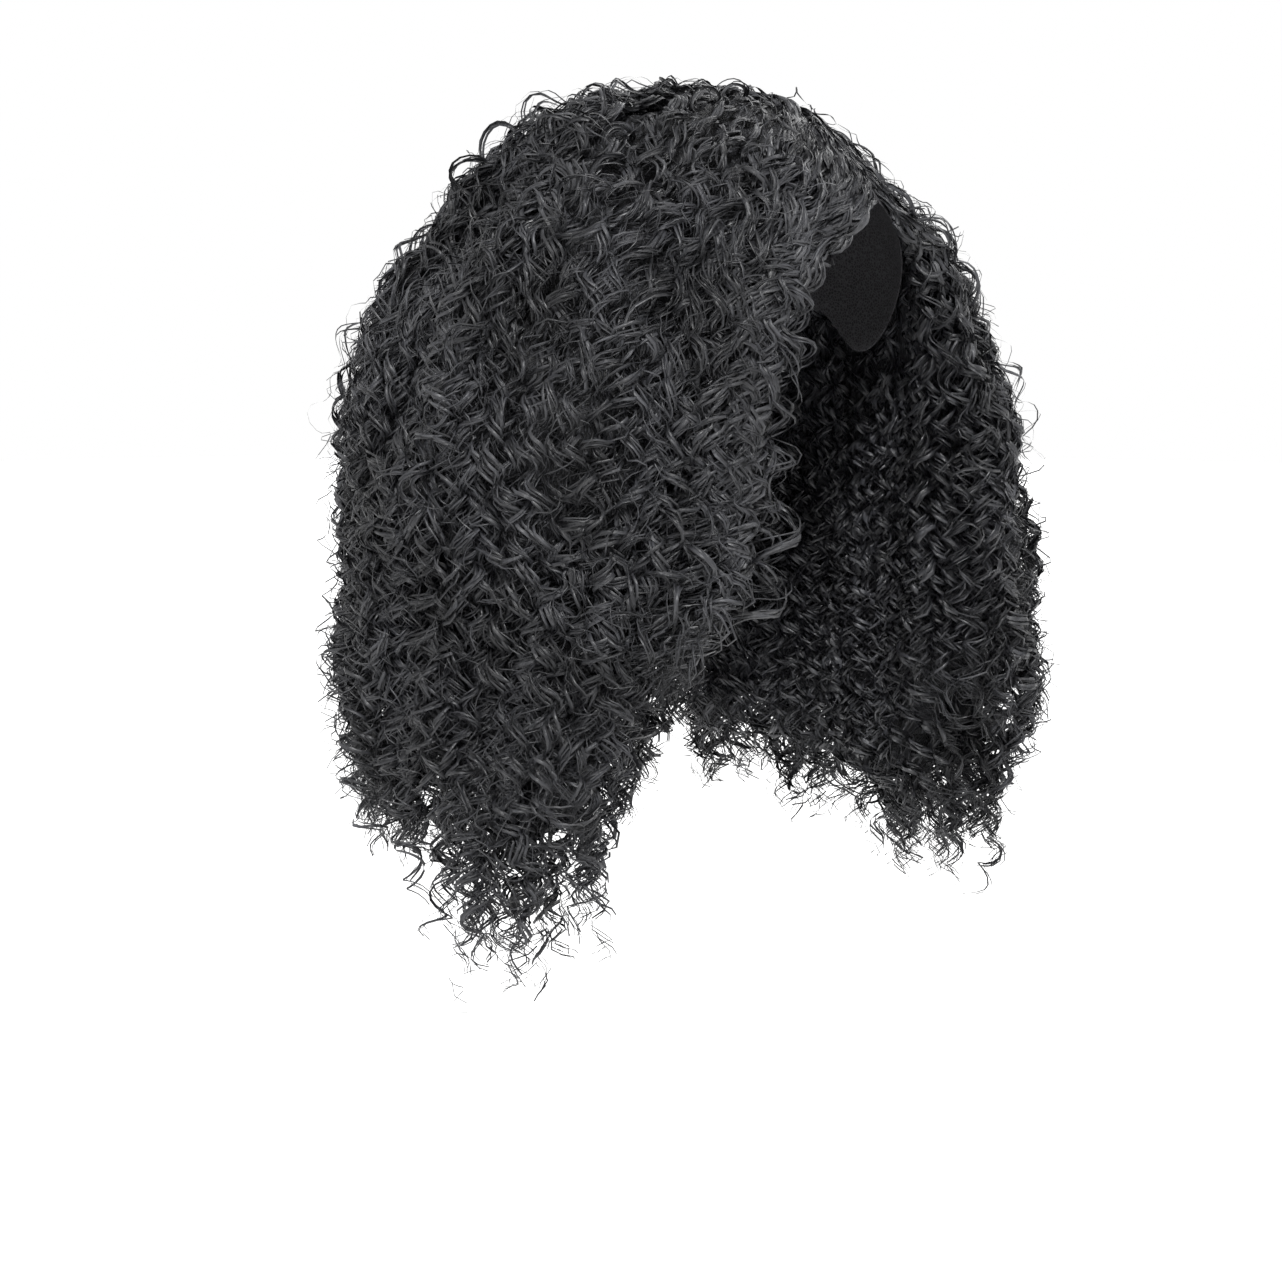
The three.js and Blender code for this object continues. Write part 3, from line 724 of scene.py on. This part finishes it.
def fill_mesh(name, verts, loops, sizes):
    """A smooth-shaded mesh from flat arrays."""
    mesh = bpy.data.meshes.new(name)
    mesh.vertices.add(len(verts))
    mesh.vertices.foreach_set("co", verts.astype(np.float32).reshape(-1))
    mesh.loops.add(len(loops))
    mesh.loops.foreach_set("vertex_index", loops.astype(np.int32))
    mesh.polygons.add(len(sizes))
    mesh.polygons.foreach_set("loop_start", (np.cumsum(sizes) - sizes).astype(np.int32))
    mesh.polygons.foreach_set("loop_total", sizes.astype(np.int32))
    mesh.update(calc_edges=True)
    mesh.polygons.foreach_set("use_smooth", np.ones(len(sizes), bool))
    mesh.validate()
    return mesh


def node(tree, kind, values=None, **settings):
    """A new shader node with settings, and values for its inputs by name or number."""
    made = tree.nodes.new(kind)
    for key, value in settings.items():
        setattr(made, key, value)
    for key, value in (values or {}).items():
        made.inputs[key].default_value = value
    return made


def new_material(name, specular, roughness=None):
    """A new material, the function that links its nodes, its node tree and its shader."""
    material = bpy.data.materials.new(name)
    material.use_nodes = True
    tree = material.node_tree
    shader = tree.nodes["Principled BSDF"]
    shader.inputs["Specular IOR Level"].default_value = specular
    if roughness is not None:
        shader.inputs["Roughness"].default_value = roughness
    return material, tree.links.new, tree, shader


def two_shades(tree, shades, places=(0, 1)):
    """A colour ramp between two shades."""
    ramp = node(tree, "ShaderNodeValToRGB")
    for element, shade, place in zip(ramp.color_ramp.elements, shades, places):
        element.position = place
        element.color = (*shade, 1)
    return ramp


def hair_material():
    """Curl fibres: dark, with a tone of its own for each strand and fine grooves along it."""
    material, link, tree, shader = new_material("curl_fibre", 0.45)
    uv = node(tree, "ShaderNodeUVMap", uv_map="strand")
    tone = node(tree, "ShaderNodeTexNoise", {"Scale": 0.9, "Detail": 2.0})
    ramp = two_shades(tree, FIBRE_SHADES, FIBRE_TONES)
    link(uv.outputs["UV"], tone.inputs["Vector"])
    link(tone.outputs["Fac"], ramp.inputs["Fac"])
    # The strands' own tones get painted shade and painted light in patches
    link(shaded(tree, ramp.outputs["Color"]), shader.inputs["Base Color"])

    stretch = node(tree, "ShaderNodeMapping", {"Scale": (FIBRE_GROOVES, 0.5, 1)})
    groove = node(tree, "ShaderNodeTexNoise", {"Scale": 1.0, "Detail": 3.0})
    least, most = FIBRE_ROUGHNESS
    gloss = node(tree, "ShaderNodeMapRange", {"To Min": least, "To Max": most})
    link(uv.outputs["UV"], stretch.inputs["Vector"])
    link(stretch.outputs["Vector"], groove.inputs["Vector"])
    link(groove.outputs["Fac"], gloss.inputs["Value"])
    link(gloss.outputs["Result"], shader.inputs["Roughness"])

    parts = node(tree, "ShaderNodeSeparateXYZ")
    share = node(tree, "ShaderNodeMath", operation="FRACT")
    middle = node(tree, "ShaderNodeMath", {1: 0.5}, operation="SUBTRACT")
    square = node(tree, "ShaderNodeMath", operation="MULTIPLY")
    height = node(tree, "ShaderNodeMath", {1: -RIBBON_ROUND}, operation="MULTIPLY_ADD")
    bump = node(tree, "ShaderNodeBump", {"Strength": 0.7, "Distance": 0.0008})
    link(uv.outputs["UV"], parts.inputs["Vector"])
    link(parts.outputs["X"], share.inputs[0])
    link(share.outputs["Value"], middle.inputs[0])
    link(middle.outputs["Value"], square.inputs[0])
    link(middle.outputs["Value"], square.inputs[1])
    link(square.outputs["Value"], height.inputs[0])
    link(groove.outputs["Fac"], height.inputs[2])
    link(height.outputs["Value"], bump.inputs["Height"])
    link(bump.outputs["Normal"], shader.inputs["Normal"])
    return material


def core_material():
    """Dense frizzy hair with painted shade: its dark shade is darker than the curls' own, for the
    shade in the gaps between them. Curly fibres, drawn as the contour lines of a slow noise.
    """
    material, link, tree, shader = new_material("inner_hair", 0.25, 0.55)
    place = node(tree, "ShaderNodeTexCoord")
    stretch = node(tree, "ShaderNodeMapping", {"Scale": (1, 1, 0.5)})
    bends = node(tree, "ShaderNodeTexNoise", {"Scale": 120.0, "Detail": 2.0, "Distortion": 0.6})
    frizz = node(tree, "ShaderNodeTexNoise", {"Scale": 700.0})
    rough = node(tree, "ShaderNodeMath", {1: CORE_FRIZZ}, operation="MULTIPLY")
    lines = node(tree, "ShaderNodeMath", {1: CORE_FIBRES}, operation="MULTIPLY_ADD")
    ripple = node(tree, "ShaderNodeMath", operation="SINE")
    fibres = node(tree, "ShaderNodeMapRange", {"From Min": -0.6})
    # Fibres between the hair's own light tone and a dark painted shade
    ramp = two_shades(tree, CORE_TONES_AND_PAINTED_SHADE)
    bump = node(tree, "ShaderNodeBump", {"Strength": 0.8, "Distance": 0.0015})
    link(place.outputs["Object"], stretch.inputs["Vector"])
    link(stretch.outputs["Vector"], bends.inputs["Vector"])
    link(stretch.outputs["Vector"], frizz.inputs["Vector"])
    link(frizz.outputs["Fac"], rough.inputs[0])
    link(bends.outputs["Fac"], lines.inputs[0])
    link(rough.outputs["Value"], lines.inputs[2])
    link(lines.outputs["Value"], ripple.inputs[0])
    link(ripple.outputs["Value"], fibres.inputs["Value"])
    link(fibres.outputs["Result"], ramp.inputs["Fac"])
    # The core's tones get painted shade and painted light in patches
    link(shaded(tree, ramp.outputs["Color"]), shader.inputs["Base Color"])
    link(fibres.outputs["Result"], bump.inputs["Height"])
    link(bump.outputs["Normal"], shader.inputs["Normal"])
    return material


def shaded(tree, colour):
    """A colour given painted shade and painted light in long soft patches: darker as in the shade
    between locks, lighter as where light falls on them.
    """
    link = tree.links.new
    darkest, lightest = PAINTED_LOCK_SHADE_AND_LIGHT
    place = node(tree, "ShaderNodeTexCoord")
    stretch = node(tree, "ShaderNodeMapping", {"Scale": (1, 1, 0.45)})
    patches = node(tree, "ShaderNodeTexNoise", {"Scale": 32.0, "Detail": 2.0})
    tone = node(tree, "ShaderNodeMapRange", {"From Min": 0.35, "From Max": 0.65,
                                             "To Min": darkest, "To Max": lightest})
    product = node(tree, "ShaderNodeVectorMath", operation="MULTIPLY")
    link(place.outputs["Object"], stretch.inputs["Vector"])
    link(stretch.outputs["Vector"], patches.inputs["Vector"])
    link(patches.outputs["Fac"], tone.inputs["Value"])
    link(colour, product.inputs[0])
    link(tone.outputs["Result"], product.inputs[1])
    return product.outputs["Vector"]


def cap_material():
    """Black stretch net: fine threads over a darker matte ground."""
    material, link, tree, shader = new_material("cap_net", 0.25, 0.85)
    place = node(tree, "ShaderNodeTexCoord")
    threads = node(tree, "ShaderNodeTexVoronoi", {"Scale": 650.0}, feature="DISTANCE_TO_EDGE")
    ramp = two_shades(tree, CAP_SHADES, CAP_THREADS)
    bump = node(tree, "ShaderNodeBump", {"Strength": 0.6, "Distance": 0.0005}, invert=True)
    link(place.outputs["Object"], threads.inputs["Vector"])
    link(threads.outputs["Distance"], ramp.inputs["Fac"])
    link(ramp.outputs["Color"], shader.inputs["Base Color"])
    link(threads.outputs["Distance"], bump.inputs["Height"])
    link(bump.outputs["Normal"], shader.inputs["Normal"])
    return material


def add_object(name, mesh):
    made = bpy.data.objects.new(name, mesh)
    bpy.context.scene.collection.objects.link(made)
    return made


def build_hair():
    """One piece for each CAD section of hair."""
    form = HairForm([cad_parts[name] for name in SECTIONS])
    fibre = hair_material()
    shadowed = core_material()
    for index, (name, section) in enumerate(SECTIONS.items()):
        rng = np.random.default_rng(SEED + index)
        core = section_core(rng, form, section)
        beside = [cheek_curl(rng, form)] if name == "hair_front_right" else []
        budget = section["triangles"] - 2 * len(core[1]) - sum(triangles_in(b) for b in beside)
        bunches = [grow_curls(rng, form, section, kind, budget * part)
                   for kind, part in zip(CURLS, kind_parts(section))]
        bunches = [bunch for bunch in bunches if bunch] + beside
        mesh = ribbon_mesh(name + "_curls", bunches, core)
        piece = add_object(name + "_curls", mesh)
        mesh.materials.append(fibre)
        mesh.materials.append(shadowed)
        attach(piece, "root")
        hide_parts(name)


def build_cap():
    """The cap as one smooth thin shell of stretch fabric, in the place of its CAD solid."""
    shell = bmesh.new()
    shell.from_mesh(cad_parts["cap"].data)
    bmesh.ops.remove_doubles(shell, verts=shell.verts, dist=1e-5)
    bmesh.ops.join_triangles(shell, faces=shell.faces, angle_face_threshold=0.6,
                             angle_shape_threshold=3.1)
    mesh = bpy.data.meshes.new("cap_shell")
    shell.to_mesh(mesh)
    shell.free()
    piece = add_object("cap_shell", mesh)
    rounded = piece.modifiers.new("rounded", "SUBSURF")
    rounded.levels = 2
    rounded.render_levels = 2
    mesh.polygons.foreach_set("use_smooth", np.ones(len(mesh.polygons), bool))
    mesh.materials.append(cap_material())
    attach(piece, "root")
    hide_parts("cap")


def build_camera():
    data = bpy.data.cameras.new("camera")
    camera = add_object("camera", data)
    a, e = CAMERA_AZIMUTH, CAMERA_ELEVATION
    back = Vector((math.sin(a) * math.cos(e), -math.cos(a) * math.cos(e), math.sin(e)))
    camera.location = CAMERA_AIM + back * CAMERA_DISTANCE
    camera.rotation_euler = (-back).to_track_quat("-Z", "Y").to_euler()
    data.lens = CAMERA_LENS
    data.sensor_width = CAMERA_SENSOR
    data.clip_end = CAMERA_SIGHT
    bpy.context.scene.camera = camera


def turn_light(light, place):
    """Puts a light in its place and turns it to the wig."""
    light.location = place
    light.rotation_euler = (LIGHTS_AIM - Vector(place)).to_track_quat("-Z", "Y").to_euler()


def build_world():
    """A white background for the camera, and a softer white light from all round."""
    world = bpy.data.worlds.new("studio")
    bpy.context.scene.world = world
    world.use_nodes = True
    tree = world.node_tree
    seen = tree.nodes["Background"]
    seen.inputs["Color"].default_value = (1, 1, 1, 1)
    ambient = node(tree, "ShaderNodeBackground", {"Color": (1, 1, 1, 1), "Strength": AMBIENT})
    path = node(tree, "ShaderNodeLightPath")
    choice = node(tree, "ShaderNodeMixShader")
    tree.links.new(path.outputs["Is Camera Ray"], choice.inputs["Fac"])
    tree.links.new(ambient.outputs["Background"], choice.inputs[1])
    tree.links.new(seen.outputs["Background"], choice.inputs[2])
    tree.links.new(choice.outputs["Shader"], tree.nodes["World Output"].inputs["Surface"])


def build_floor():
    corners = [(x * FLOOR_HALF, y * FLOOR_HALF, FLOOR_Z)
               for x, y in ((-1, -1), (1, -1), (1, 1), (-1, 1))]
    mesh = bpy.data.meshes.new("floor")
    mesh.from_pydata(corners, [], [(0, 1, 2, 3)])
    floor = add_object("floor", mesh)
    material, _, _, shader = new_material("floor", 0.5, 0.9)
    shader.inputs["Base Color"].default_value = (*FLOOR_SHADE, 1)
    mesh.materials.append(material)


def build_lights():
    key = bpy.data.lights.new("key", "SUN")
    key.angle = math.radians(KEY_LIGHT["angle"])
    key.energy = KEY_LIGHT["power"]
    turn_light(add_object("key", key), KEY_LIGHT["place"])
    rim = bpy.data.lights.new("rim", "AREA")
    rim.shape = "DISK"
    rim.size = RIM_LIGHT["size"]
    rim.energy = RIM_LIGHT["power"]
    turn_light(add_object("rim", rim), RIM_LIGHT["place"])


bpy.context.scene.view_settings.view_transform = "Standard"
build_camera()
build_world()
build_floor()
build_lights()
build_hair()
build_cap()
